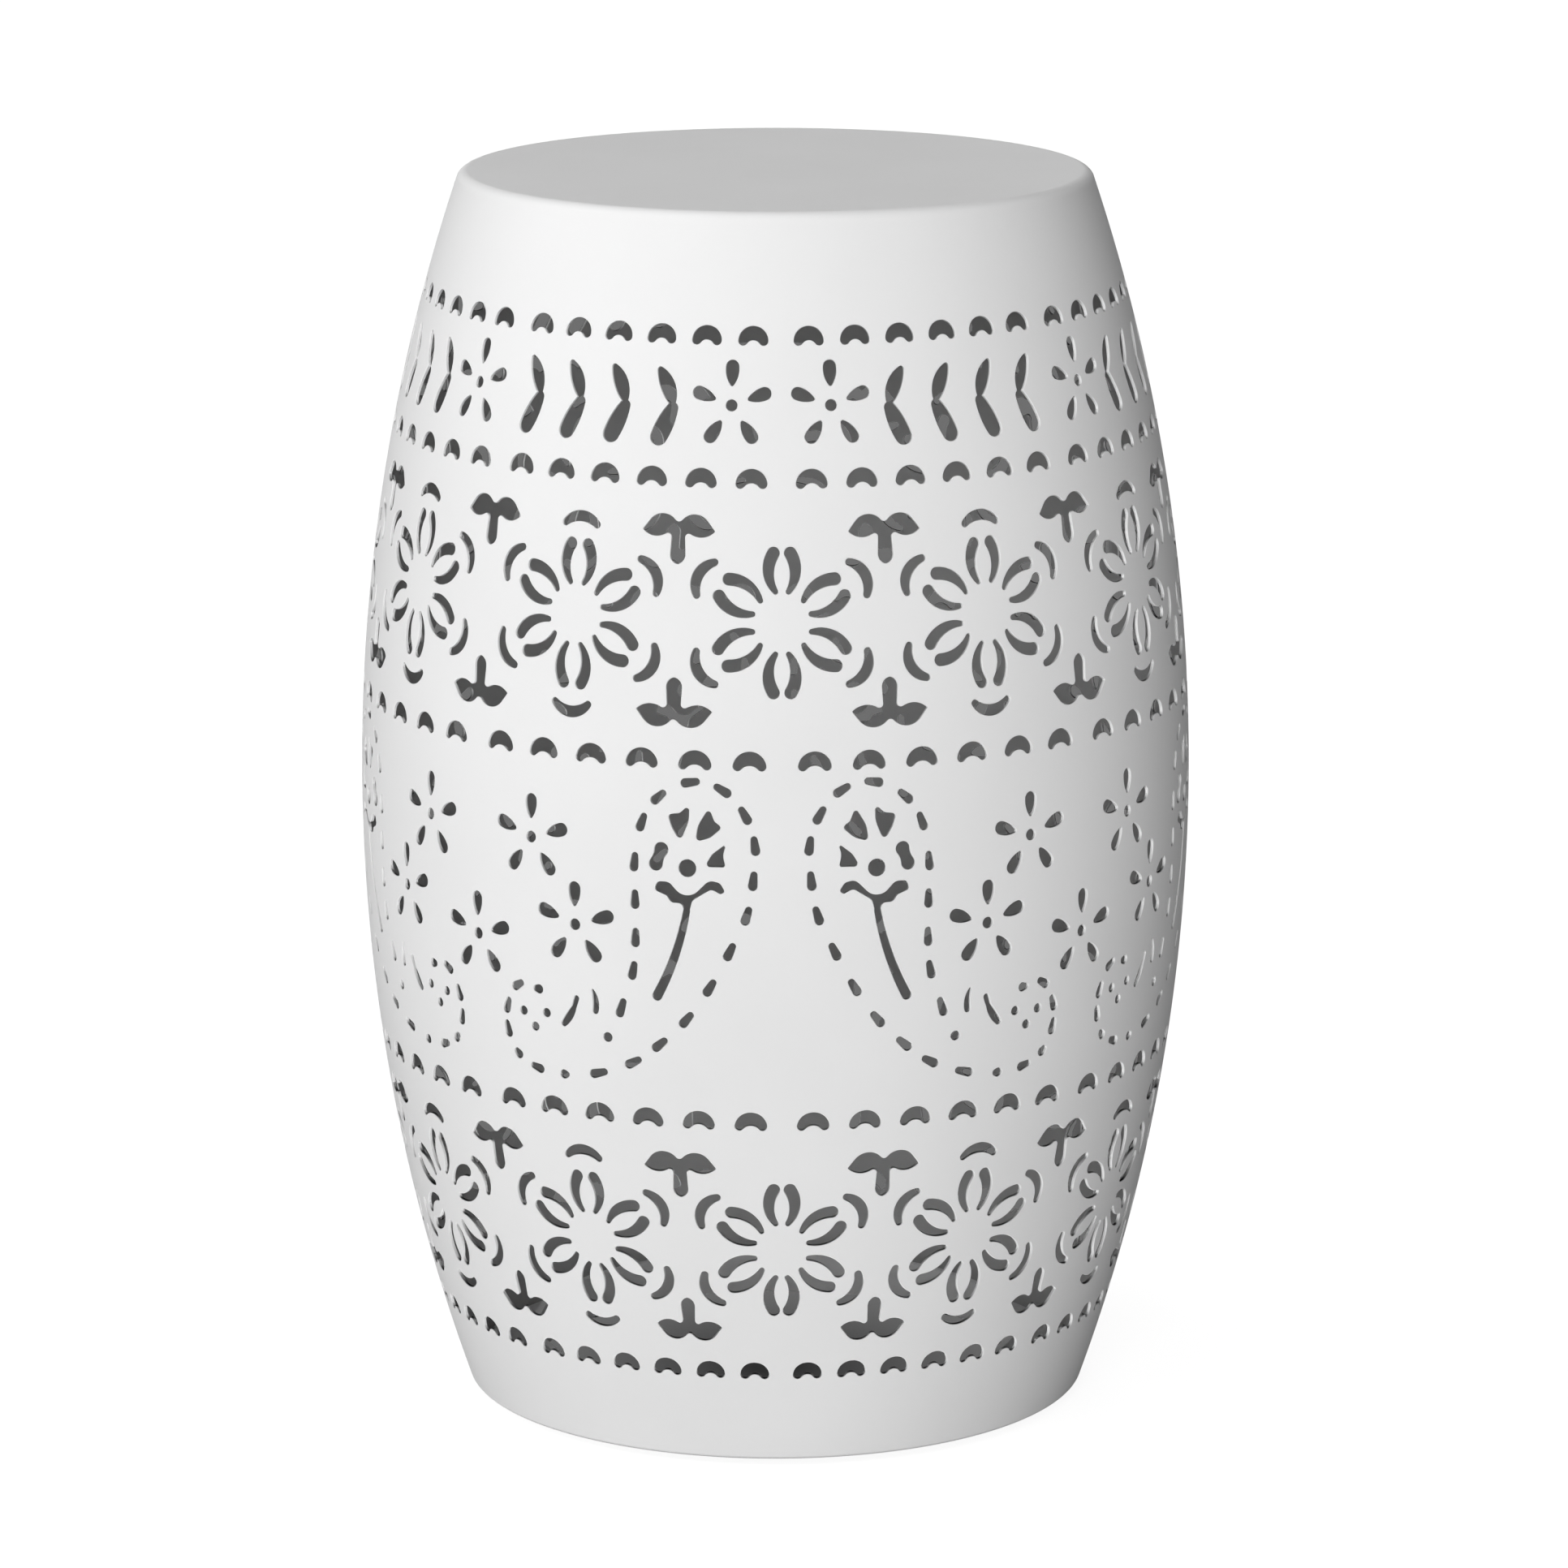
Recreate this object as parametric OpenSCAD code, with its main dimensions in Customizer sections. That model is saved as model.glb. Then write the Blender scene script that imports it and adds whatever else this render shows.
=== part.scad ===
/* [Drum] */
// Height of the drum from its bottom edge to the seat, above the glides
drum_h = 450; // [440:1:470]
// Outer radius of the drum at its belly, halfway up
belly_r = 151.5; // [148:0.5:156]
// Outer radius of the drum where its wall meets the two ends
end_r = 113.8; // [111:0.2:118]
// Thickness of the four pressed wall panels
sheet_t = 1.2; // [1:0.1:1.5]
// Outer radius of the bend at the foot of the wall
foot_bend = 2; // [1.8:0.1:3]
// Width of the lip turned in under the wall
foot_lip = 6; // [4:0.5:7]

/* [Seat] */
// Thickness of the pressed seat plate
seat_t = 1.5; // [1.2:0.1:2]
// Outer radius of the bend round the seat's rim
rim_bend = 4.2; // [3.5:0.1:6]
// Depth of the seat's stepped skirt inside the wall
skirt_h = 14; // [10:1:20]
// Height of the two crossed seat braces
brace_h = 20; // [14:1:24]
// Thickness of the two crossed seat braces
brace_t = 3; // [2:0.5:5]

/* [Base] */
// Width of the base ring's flat leg
ring_w = 24; // [22:1:30]
// Height of the base ring's upright leg
ring_h = 16; // [12:1:20]
// Thickness of the base ring
ring_t = 2.5; // [2:0.5:4]
// Outer radius of a rubber glide
glide_r = 6.5; // [6:0.5:7]
// How far the glides hold the drum off the floor
glide_lift = 2; // [2:0.5:5]
// Shank radius of a glide screw
screw_r = 2; // [1.5:0.25:2.25]
// Head radius of a glide screw
head_r = 3.6; // [3.2:0.1:4]
// Height of a glide screw's head
head_h = 1.6; // [1.2:0.1:1.8]
// Radius of a washer
washer_r = 5; // [4.5:0.5:5.5]
// Thickness of a washer
washer_t = 1; // [0.5:0.25:1.5]
// Radius across the corners of a glide nut
nut_r = 4; // [3.5:0.1:4.5]
// Thickness of a glide nut
nut_t = 3.2; // [2.5:0.1:4]

/* [Fits] */
// Gap between curved faces that lie against each other
fit_gap = 0.15; // [0.1:0.05:0.3]
// Gap round a screw in its holes
screw_gap = 0.25; // [0.1:0.05:0.5]

/* [Pattern] */
// Degrees round the drum between neighbouring crescents
crescent_pitch = 7.28; // [6.6:0.02:7.36]
// Degrees round the drum between neighbouring chevrons
chevron_pitch = 7.54; // [7.2:0.02:7.7]
// Height of a crescent's crown above its end centres
crescent_crown = 5.1; // [4.5:0.1:5.5]
// Radius of the round ends of a crescent
crescent_end = 1.6; // [1.2:0.05:1.8]
// Radius of the fuller, lower end of a paisley dash
dash_r = 1.5; // [1.3:0.1:1.7]
// Radius of the slimmer, upper end of a paisley dash
dash_tip_r = 1.15; // [0.9:0.05:1.3]
// Radius of the centre dot of each five-petal flower
dot_r = 2; // [1:0.1:2.5]

/* [Hidden] */
$fn = 64;

// The wall is one arc in section, and the pattern repeats in tiles of an eighth of the way round
arc_r = (pow(drum_h / 2, 2) + pow(belly_r - end_r, 2)) / (2 * (belly_r - end_r));
wall_bands = 14;
tile_a = 45;
// Radius of the wall at which the holes have the widths that are written here
true_r = 147.7;
cut_in = 4;
cut_out = 3;
// Cuts are drawn with few straight edges, which keeps four panels of 302 holes each light
bulge_sag = 0.5;
hollow_sag = 0.4;
blunt_end = 1.55;
spared_loss = 0.7;
dot_sides = 6;

// Rows of the pattern, measured along the sheet from the belly line, and places along them in degrees
crescent_rows = [-190.5, -90.8, 39.7, 137.3, 186.5];
rosette_rows = [[87.7, 31.3], [-141.1, 31.9]];
rosette_at = 29.29;
half_rosette_at = -0.155;
sprig_at = 14.55;
garland_s = 162.4;
garland_flower_at = 7.41;
chevron_at = 15.42;
open_flowers = [[28.51, -22.2], [35.26, 7.2], [tile_a, -31.7]];

// Middle of each dash of the paisley's outline and the length between its end centres
dashes = [
    [22, -50.7, 4.4], [20.17, -36.6, 4], [19.75, -24.5, 4], [19.75, -10.7, 4], [19.78, 2.7, 4],
    [18.74, 17, 4], [16.41, 26.2, 3.8], [12.1, 31.8, 4], [7.95, 29.4, 4], [4.97, 20.8, 4],
    [3.61, 10.1, 4], [3.8, -2.4, 4], [4.66, -14.9, 4], [6.91, -28, 4], [9.62, -41.3, 4],
    [12.84, -53.4, 4], [16.64, -63.2, 4], [20.52, -70.7, 4], [25.76, -76.1, 4.4], [31.11, -78.4, 0.9],
    [35.77, -77.5, 3], [38.91, -73.3, 1.3], [40.42, -64.7, 3.4], [40.19, -55.9, 3.4], [38.09, -47.6, 3],
    [34.8, -47.9, 1.3]
];
// Corners of the leaf shapes, each with the radius that rounds it
sprig_half = [
    [3.2, -5.6, 6.2], [9.05, -5.4, 6.2], [13.4, 0.15, 0.35], [9, 3.8, 7.2], [2.1, -0.15, 1.4], [2.65, 10.7, 3.3]
];
sprig_notch = [0, -2.04, 1.65];
sprig_end = [0, 11.7, 1];
left_leaf = [
    [1.75, -2.4, 1.2], [1.1, 3, 8], [-2.85, 9.6, 1], [-4.75, 4.8, 1.5], [-7.5, 2.75, 1.1], [-3.2, -0.9, 6]
];
right_leaf = [
    [-0.1, -3.1, 1.25], [3, 2.1, 6], [4.35, 6.35, 1.2], [0.1, 6.9, 2], [-3.3, 10.1, 0.9], [-3.1, 4.2, 10]
];
side_leaf = [[-1.3, -1.95, 0.8], [6, -2.05, 1.1], [3.5, 2.3, 6], [-1.5, 6.2, 0.45], [-0.25, 2, 6]];
calyx = [
    [0.6, -0.8, 0.1], [1, 2.9, 2], [5.2, 2.9, 2.2], [6.7, 5.35, 1.2], [11.1, 7.05, 1.2], [10.2, 10.1, 1.8],
    [5.9, 10.1, 3], [-0.3, 3.2, 5.3], [-8.4, 11.3, 3.2], [-12.1, 10.4, 2.2], [-13.9, 7.4, 0.8],
    [-12.3, 6.6, 0.8], [-9.1, 8.3, 2], [-2.3, 4, 3], [-1.1, -0.8, 0.1]
];

function wall_point(a, depth) =
    [belly_r - arc_r + (arc_r - depth) * cos(a), drum_h / 2 + (arc_r - depth) * sin(a)];
function wall_line(depth, from, to, steps) =
    [for (k = [0:steps]) wall_point(from + (to - from) * k / steps, depth)];
// Angle on the wall's arc at height z, seen at the given depth below its outer face
function wall_angle(z, depth) = asin((z - drum_h / 2) / (arc_r - depth));
function wall_r(z, depth) = wall_point(wall_angle(z, depth), depth).x;
function bend(c, r, from, to, steps) =
    [for (k = [0:steps]) let (a = from + (to - from) * k / steps) c + r * [cos(a), sin(a)]];
function back(list) = [for (k = [len(list) - 1:-1:0]) list[k]];
function turned(p, a) = [p.x * cos(a) - p.y * sin(a), p.x * sin(a) + p.y * cos(a)];

// How much narrower or wider than written a hole is where the rolled wall passes the height s
function stretch(s) = wall_point(s / arc_r * 180 / PI, 0).x / true_r;

// Point at distance a from p and b from q, left of the way from p to q for side 1
function meet(p, a, q, b, side) =
    let (d = norm(q - p), u = (q - p) / d, x = (a * a - b * b + d * d) / (2 * d))
    p + u * x + side * sqrt(max(0, a * a - x * x)) * [-u.y, u.x];
function side_centre(p, pr, q, qr, r, side) =
    r > 0 ? meet(p, r - pr, q, r - qr, -side) : meet(p, pr - r, q, qr - r, side);
// Angle from a round to b about c, counter-clockwise for turn 1
function span(c, a, b, turn) =
    let (raw = (atan2(b.y - c.y, b.x - c.x) - atan2(a.y - c.y, a.x - c.x)) * turn) raw < 0 ? raw + 360 : raw;
// Points of that arc cut into n straight edges, without b itself
function arc(c, a, b, turn, n) =
    let (from = atan2(a.y - c.y, a.x - c.x), step = turn * span(c, a, b, turn) / n)
    [for (k = [0:n - 1]) c + norm(a - c) * [cos(from + k * step), sin(from + k * step)]];
function end_line(c, a, b, r) = arc(c, a, b, 1, r < blunt_end ? 1 : 2);
function side_line(c, a, b, turn) =
    let (step = 2 * acos(1 - (turn > 0 ? bulge_sag : hollow_sag) / norm(a - c)))
    arc(c, a, b, turn, max(1, round(span(c, a, b, turn) / step)));
// A blunt end is set out by half its radius, where it cuts off as much as it adds
function set_out(p, q, r) = r < blunt_end ? p + (p - q) / norm(p - q) * r / 2 : p;
// Where the end circle about e meets the side arc about c
function touch(c, e, r) = c + (e - c) / norm(e - c) * abs(r);
// Radius of a side whose crown rises by t over end centres 2 * c apart, k being t less or plus the end radius
function crown_radius(c, t, k) = t + (c * c - k * k) / (2 * k);

// Slot with two ends and two arc sides, bulging for a radius above zero and hollow below it
module slot(tail, tail_r, tip, tip_r, left, right) {
    p = set_out(tail, tip, tail_r);
    q = set_out(tip, tail, tip_r);
    lc = side_centre(p, tail_r, q, tip_r, left, 1);
    rc = side_centre(p, tail_r, q, tip_r, right, -1);
    polygon(concat(
        end_line(p, touch(lc, p, left), touch(rc, p, right), tail_r),
        side_line(rc, touch(rc, p, right), touch(rc, q, right), sign(right)),
        end_line(q, touch(rc, q, right), touch(lc, q, left), tip_r),
        side_line(lc, touch(lc, q, left), touch(lc, p, left), sign(left))
    ));
}

// Outline of rounded corners [x, y, radius]: each arc is one edge, or only one point where that loses little
function toward(from, to) = let (way = [to.x - from.x, to.y - from.y]) way / norm(way);
function blunted(list) = [
    for (k = [0:len(list) - 1])
        let (
            c = list[k],
            a = toward(c, list[(k + 1) % len(list)]),
            b = toward(c, list[(k + len(list) - 1) % len(list)]),
            half = acos(a * b) / 2,
            loss = c.z * (1 / sin(half) - 1),
            cut = 0.65 * c.z / tan(half)
        )
        each loss > spared_loss
            ? [[c.x, c.y] + b * cut, [c.x, c.y] + a * cut]
            : [[c.x, c.y] + (a + b) / norm(a + b) * loss / 2]
];

// Cuts what is drawn flat through the wall at [degrees, height along the sheet], square to the sheet
module on_wall(at) {
    rotate([0, 0, at.x])
        translate([0, arc_r - belly_r, drum_h / 2])
            rotate([-at.y / arc_r * 180 / PI, 0, 0])
                translate([0, cut_in - arc_r, 0])
                    rotate([90, 0, 0])
                        linear_extrude(cut_in + cut_out) children();
}
module wall_slot(at, p, pr, q, qr, left, right) {
    m = at + [(p + q).x / 2 / true_r * 180 / PI, (p + q).y / 2];
    half = [(q - p).x * stretch(m.y), (q - p).y] / 2;
    on_wall(m) slot(-half, pr, half, qr, left, right);
}
module wall_dot(at, r) {
    on_wall(at) circle(r, $fn = dot_sides);
}

module crescent(at) {
    c = 4.12 * stretch(at.y);
    drop = 1.8;
    hollow = 0.3;
    on_wall(at) slot([-c, -drop], crescent_end, [c, -drop], crescent_end,
        crown_radius(c, crescent_crown, crescent_crown - crescent_end),
        -crown_radius(c, hollow, hollow + crescent_end));
}
module flower(at, tip, reach, outer) {
    wall_dot(at, dot_r);
    for (k = [0:4]) {
        a = 90 + 72 * k;
        wall_slot(at, turned([tip, 0], a), 0.7, turned([reach, 0], a), outer, 9.5, 9.5);
    }
}
module chevron(at) {
    on_wall(at) {
        slot([2.3, 0.9], 1.1, [7.4, 12], 1.1, 11, 20);
        slot([2.2, -0.9], 2, [6.5, -11], 3, 30, 30);
    }
}
module rosette_petal(at, a) {
    wall_slot(at, turned([10.8, 2.7], a), 0.9, turned([24.1, 3.4], a), 2.15, 12, -12);
    wall_slot(at, turned([10.8, -2.7], a), 0.9, turned([24.1, -3.4], a), 2.15, -12, 12);
}
module rosette_bracket(at, a) {
    wall_slot(at, turned([31.3, -6.5], a), 1, turned([31.3, 6.5], a), 1, -9.5, 8.5);
}
module sprig(at, up) {
    other_half = [for (c = back(sprig_half)) [-c.x, c.y, c.z]];
    on_wall(at) scale([stretch(at.y), up])
        polygon(blunted(concat([sprig_notch], sprig_half, [sprig_end], other_half)));
}

// Half a rosette stands on each edge of a tile pair, so only the holes clear of that edge are cut
module rosette_band() {
    for (row = rosette_rows) {
        s = row[0];
        for (a = [30:60:330]) rosette_petal([rosette_at, s], a);
        for (a = [28.5, 90, 151.5, 208.5, 270, 331.5]) rosette_bracket([rosette_at, s], a);
        for (a = [-30, 30]) rosette_petal([half_rosette_at, s], a);
        for (a = [-30.5, 28.5]) rosette_bracket([half_rosette_at, s], a);
        wall_slot([half_rosette_at, s], turned([10.8, -2.7], 90), 0.9, turned([24.1, -3.4], 90), 2.15, -12, 12);
        wall_slot([half_rosette_at, s], turned([10.8, 2.7], -90), 0.9, turned([24.1, 3.4], -90), 2.15, 12, -12);
        for (side = [-1, 1]) sprig([sprig_at, s + side * row[1]], -side);
    }
}
// Dashes along the paisley's outline, each lying along the way from the one behind to the one ahead
module paisley() {
    n = len(dashes);
    for (i = [0:n - 1]) {
        ahead = dashes[min(i + 1, n - 1)];
        behind = dashes[max(i - 1, 0)];
        way = [(ahead.x - behind.x) * PI / 180 * true_r, ahead.y - behind.y];
        half = way / norm(way) * dashes[i][2] / 2;
        down = half.y < 0 ? half : -half;
        on_wall([dashes[i].x, dashes[i].y]) slot(-down, dash_tip_r, down, dash_r, 60, 60);
    }
}
// Three leaves, peanut and dot inside the paisley
module paisley_heart() {
    on_wall([10.75, 13.4]) polygon(blunted(left_leaf));
    on_wall([13.54, 13.8]) polygon(blunted(right_leaf));
    on_wall([7.95, 4.2]) polygon(blunted(side_leaf));
    on_wall([16.41, 5.2]) slot([-0.9, 2.4], 2.5, [1.05, -2.75], 2.45, -6, -6);
    wall_dot([12.53, 1.4], 3.1);
    // Stem and the calyx that carries the flower
    on_wall([12.8, -14]) {
        polygon(blunted(calyx));
        slot([-0.35, 0], 1.2, [10.7, -31.3], 1.75, -104, 106);
    }
}
// Dots and pointed marks in the paisley's curled tip
module paisley_curl() {
    wall_dot([24.17, -62.3], 1.7);
    for (dot = [[33.52, -56.3], [37.4, -56.9], [35.53, -62.1]]) wall_dot(dot, 1.6);
    on_wall([25.84, -53]) slot([0, 0], 1.1, [0.8, 7.4], 0.4, 9, -25);
    on_wall([29.13, -52.8]) {
        slot([-1.2, 3.5], 1, [0, 0], 0.9, 60, 60);
        slot([0, 0], 0.9, [4.3, -6.4], 1.1, 60, 12);
    }
}

// Everything that a tile repeats as its mirror image in the next tile
module mirrored_holes() {
    for (s = crescent_rows) for (j = [0:5]) crescent([tile_a / 2 + (j - 2.5) * crescent_pitch, s]);
    rosette_band();
    paisley();
    paisley_heart();
    paisley_curl();
    for (k = [0, 1]) flower(open_flowers[k], 7.4, 13.1, 2.3);
}
// What repeats without a mirror, and what stands on the line between two tiles
module garland_holes() {
    for (tile = [0, 1]) {
        flower([garland_flower_at + tile * tile_a, garland_s], 7.4, 13.4, 2.25);
        for (k = [0:3]) chevron([chevron_at + k * chevron_pitch + tile * tile_a, garland_s - 0.6]);
    }
    flower(open_flowers[2], 7.4, 13.1, 2.3);
    for (row = rosette_rows) for (side = [-1, 1]) sprig([tile_a, row[0] + side * row[1]], -side);
}
module panel_holes() {
    mirrored_holes();
    rotate([0, 0, 2 * tile_a]) mirror([1, 0, 0]) mirrored_holes();
    garland_holes();
}

// Wall section: the foot's bend and lip, then the arc up to where the seat's rim begins
foot_c = [wall_r(foot_bend, foot_bend), foot_bend];
foot_a = wall_angle(foot_bend, foot_bend);
lip_in = foot_c.x + foot_bend - foot_lip;
rim_c = [wall_r(drum_h - rim_bend, rim_bend), drum_h - rim_bend];
seam_a = wall_angle(drum_h - rim_bend, rim_bend);
next_a = seam_a - (seam_a - foot_a) / wall_bands;
bend_steps = 5;
module wall_section() {
    polygon(concat(
        [[lip_in, sheet_t], [lip_in, 0]],
        bend(foot_c, foot_bend, -90, foot_a, bend_steps),
        wall_line(0, foot_a, seam_a, wall_bands),
        back(wall_line(sheet_t, foot_a, seam_a, wall_bands)),
        back(bend(foot_c, foot_bend - sheet_t, -90, foot_a, bend_steps))
    ));
}
module lifted() {
    translate([0, 0, glide_lift]) children();
}
module panel() {
    color("white") lifted() difference() {
        rotate([0, 0, -90]) rotate_extrude(angle = 90) wall_section();
        panel_holes();
    }
}
module drum_panel_front_right() {
    panel();
}
module drum_panel_front_left() {
    mirror([1, 0, 0]) panel();
}
module drum_panel_rear_left() {
    rotate([0, 0, 180]) panel();
}
module drum_panel_rear_right() {
    rotate([0, 0, 180]) mirror([1, 0, 0]) panel();
}

// Seat: a disc whose bent rim butts on the wall's top edge and steps down inside the wall
skirt_out = sheet_t + fit_gap;
skirt_in = skirt_out + seat_t;
plate_z = drum_h - seat_t;
// Point of the skirt at the given depth and the given way down the wall's top band
function skirt_point(depth, way) =
    let (a = wall_point(seam_a, depth), b = wall_point(next_a, depth)) a + (b - a) * way / norm(b - a);
module seat_plate() {
    color("white") lifted() rotate_extrude() polygon(concat(
        [[0, drum_h]],
        back(bend(rim_c, rim_bend, seam_a, 90, bend_steps + 1)),
        [skirt_point(skirt_out, 0), skirt_point(skirt_out, skirt_h), skirt_point(skirt_in, skirt_h)],
        [[wall_r(plate_z, skirt_in), plate_z], [0, plate_z]]
    ));
}
// Two flat bars on edge, halved over each other, welded under the plate and between the skirt
module brace(notch_z) {
    half = wall_r(plate_z, skirt_in) - fit_gap;
    difference() {
        translate([-half, -brace_t / 2, plate_z - brace_h]) cube([2 * half, brace_t, brace_h]);
        translate([-brace_t / 2 - fit_gap, -brace_t, notch_z])
            cube([brace_t + 2 * fit_gap, 2 * brace_t, brace_h]);
    }
}
module seat_brace_lower() {
    color("gray") lifted() brace(plate_z - brace_h / 2);
}
module seat_brace_upper() {
    color("gray") lifted() rotate([0, 0, 90]) brace(plate_z - 3 * brace_h / 2);
}

// Angle ring on the foot's lip, with the glides screwed to its flat leg
ring_out = foot_c.x - fit_gap;
ring_in = ring_out - ring_w;
ring_z = sheet_t;
washer_z = ring_z + ring_t;
nut_z = washer_z + washer_t;
glide_x = (lip_in + ring_in + ring_t) / 2;
// How far the screw heads stay off the floor, and how far the screws pass their nuts
head_sink = 0.3;
screw_tail = 1;
head_z = head_sink - glide_lift;
module at_glide(a) {
    rotate([0, 0, a]) translate([glide_x, 0, 0]) children();
}
module at_glides() {
    for (a = [45:90:315]) at_glide(a) children();
}
module base_ring() {
    color("gray") lifted() difference() {
        rotate_extrude() polygon([
            [ring_in, ring_z], [ring_out, ring_z], [ring_out, ring_z + ring_t],
            [ring_in + ring_t, ring_z + ring_t], [ring_in + ring_t, ring_z + ring_h], [ring_in, ring_z + ring_h]
        ]);
        at_glides() cylinder(r = screw_r + screw_gap, h = 3 * ring_h, center = true);
    }
}

// Rubber glide with a bevelled foot and a recess for its screw's head
glide_bevel = 0.8;
module glide(a) {
    color("dimgray") lifted() at_glide(a) difference() {
        rotate_extrude() polygon([
            [0, -glide_lift], [glide_r - glide_bevel, -glide_lift], [glide_r, glide_bevel - glide_lift],
            [glide_r, ring_z], [0, ring_z]
        ]);
        cylinder(r = screw_r + screw_gap, h = 3 * ring_h, center = true);
        translate([0, 0, head_z + head_h - ring_h]) cylinder(r = head_r + screw_gap, h = ring_h);
    }
}
module glide_front_right() {
    glide(-45);
}
module glide_front_left() {
    glide(-135);
}
module glide_rear_left() {
    glide(135);
}
module glide_rear_right() {
    glide(45);
}
module glide_screws() {
    color("silver") lifted() at_glides() {
        translate([0, 0, head_z]) cylinder(r = head_r, h = head_h);
        translate([0, 0, head_z + head_h / 2])
            cylinder(r = screw_r, h = nut_z + nut_t + screw_tail - head_z - head_h / 2);
    }
}
module glide_washers() {
    color("silver") lifted() at_glides() translate([0, 0, washer_z]) difference() {
        cylinder(r = washer_r, h = washer_t);
        cylinder(r = screw_r + screw_gap, h = 3 * washer_t, center = true);
    }
}
module glide_nuts() {
    color("silver") lifted() at_glides() translate([0, 0, nut_z]) difference() {
        cylinder(r = nut_r, h = nut_t, $fn = 6);
        cylinder(r = screw_r + fit_gap, h = 3 * nut_t, center = true);
    }
}

drum_panel_front_right();
drum_panel_front_left();
drum_panel_rear_left();
drum_panel_rear_right();
seat_plate();
seat_brace_lower();
seat_brace_upper();
base_ring();
glide_front_right();
glide_front_left();
glide_rear_left();
glide_rear_right();
glide_screws();
glide_washers();
glide_nuts();
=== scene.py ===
"""Looks of the metal drum stool: smooth pierced wall, seat, powder coat, light and camera."""

import math

import bpy
import numpy as np
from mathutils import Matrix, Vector, geometry, kdtree


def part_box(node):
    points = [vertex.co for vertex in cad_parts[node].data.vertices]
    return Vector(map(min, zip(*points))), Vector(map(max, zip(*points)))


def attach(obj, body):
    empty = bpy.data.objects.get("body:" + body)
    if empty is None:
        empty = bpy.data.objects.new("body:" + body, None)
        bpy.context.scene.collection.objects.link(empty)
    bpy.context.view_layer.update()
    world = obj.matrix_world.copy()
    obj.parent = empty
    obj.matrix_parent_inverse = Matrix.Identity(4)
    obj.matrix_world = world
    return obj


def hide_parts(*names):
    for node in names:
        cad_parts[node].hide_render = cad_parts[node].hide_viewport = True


MM = 0.001
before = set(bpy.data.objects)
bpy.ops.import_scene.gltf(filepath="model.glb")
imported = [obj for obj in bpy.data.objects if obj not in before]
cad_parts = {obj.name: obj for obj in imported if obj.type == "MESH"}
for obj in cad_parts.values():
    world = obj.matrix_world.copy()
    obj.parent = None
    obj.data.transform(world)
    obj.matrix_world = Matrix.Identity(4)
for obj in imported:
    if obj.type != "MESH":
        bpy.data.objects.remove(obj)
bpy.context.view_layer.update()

# Driving sizes in millimetres, read from the frame where a node's box gives them
PANELS = ("drum_panel_front_right", "drum_panel_front_left", "drum_panel_rear_left", "drum_panel_rear_right")
panel_low, panel_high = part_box(PANELS[0])
seat_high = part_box("seat_plate")[1]
FOOT_Z = panel_low.z / MM
DRUM_H = (seat_high.z - panel_low.z) / MM
BELLY_R = panel_high.x / MM
END_R = 113.8
SHEET_T = 1.2
FOOT_BEND = 2.0
FOOT_LIP = 6.0
SEAT_T = 1.5
RIM_BEND = 4.2
SKIRT_H = 14.0
FIT_GAP = 0.15

# The wall is one arc in section, rolled from a sheet whose pattern repeats every quarter turn
ARC_R = ((DRUM_H / 2) ** 2 + (BELLY_R - END_R) ** 2) / (2 * (BELLY_R - END_R))
AXIS_R = BELLY_R - ARC_R
# Width of an eighth of the way round, at the radius where holes have the widths that are written here
TILE_W = 116.0
QUARTER_W = 2 * TILE_W
TURN = math.pi / 4 / TILE_W

# Fineness of the meshes
COLUMNS = 48
ROW_STEP = 5.0
BEND_ROWS = 8
PLATE_STEPS = 6
RIM_STEPS = 14
OUTLINE_SAG = 0.02
OUTLINE_ANGLE = math.radians(24)
# Distance that the grid's points keep from the holes' outlines
CLEAR = 1.6
# Points of the sheet nearer than WELD are one, and those nearer than ON_RIM to its rim are on it
WELD = 1e-5
ON_RIM = 1e-4
ON_AXIS = 1e-6

# Rounding of the holes' edges on the wall's outer and inner face
OUTER_ROUND = 0.35
INNER_ROUND = 0.2

# Pattern sizes on the flat sheet, heights measured from the belly line
CRESCENT_ROWS = (-190.5, -90.8, 39.7, 137.3, 186.5)
CRESCENTS = 6
CRESCENT_PITCH = 18.76
CRESCENT_HALF = 4.12
CRESCENT_CROWN = 5.1
CRESCENT_END = 1.6
CRESCENT_DROP = 1.8
CRESCENT_HOLLOW = 0.3
# Height of each rosette row, how far its sprigs stand from it, and the reach of its upper and lower brackets
ROSETTE_ROWS = ((87.7, 31.3, 31.3), (-141.1, 31.9, 32.0))
ROSETTE_X = 75.5
HALF_ROSETTE_X = -0.4
SPRIG_X = 37.5
GARLAND_S = 162.4
GARLAND_FLOWER_X = 19.1
CHEVRONS = 4
CHEVRON_S = GARLAND_S - 0.6
CHEVRON_X = 39.75
CHEVRON_PITCH = 19.45
OPEN_FLOWERS = ((73.5, -22.2), (90.9, 7.2), (TILE_W, -31.7))

# The two slots of a rosette's petal: how far out and how far aside their end centres lie, and their radii
PETAL_ROOT = 10.8
PETAL_ROOT_ASIDE = 2.7
PETAL_ROOT_R = 0.9
PETAL_TIP = 24.1
PETAL_TIP_ASIDE = 3.4
PETAL_TIP_R = 2.15
PETAL_BOW = 12
BRACKET_REACH = 31.3
BRACKET_HALF = 6.5
BRACKET_R = 1.25
BRACKET_HOLLOW = -9.3
BRACKET_BOW = 8.9
BRACKET_A = 28.5
HALF_ROSETTE_BRACKETS = (-30.5, BRACKET_A)

# Small flowers, with the reach of their petals and the radius of the petals' outer ends
DOT_R = 2.0
FLOWER_ROOT = 7.4
FLOWER_ROOT_R = 0.7
FLOWER_BOW = 9.5
OPEN_PETAL = (13.1, 2.3)
GARLAND_PETAL = (13.4, 2.25)
DASH_R = 1.6
DASH_TIP_R = 1.2
DASH_BOW = 60

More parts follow.
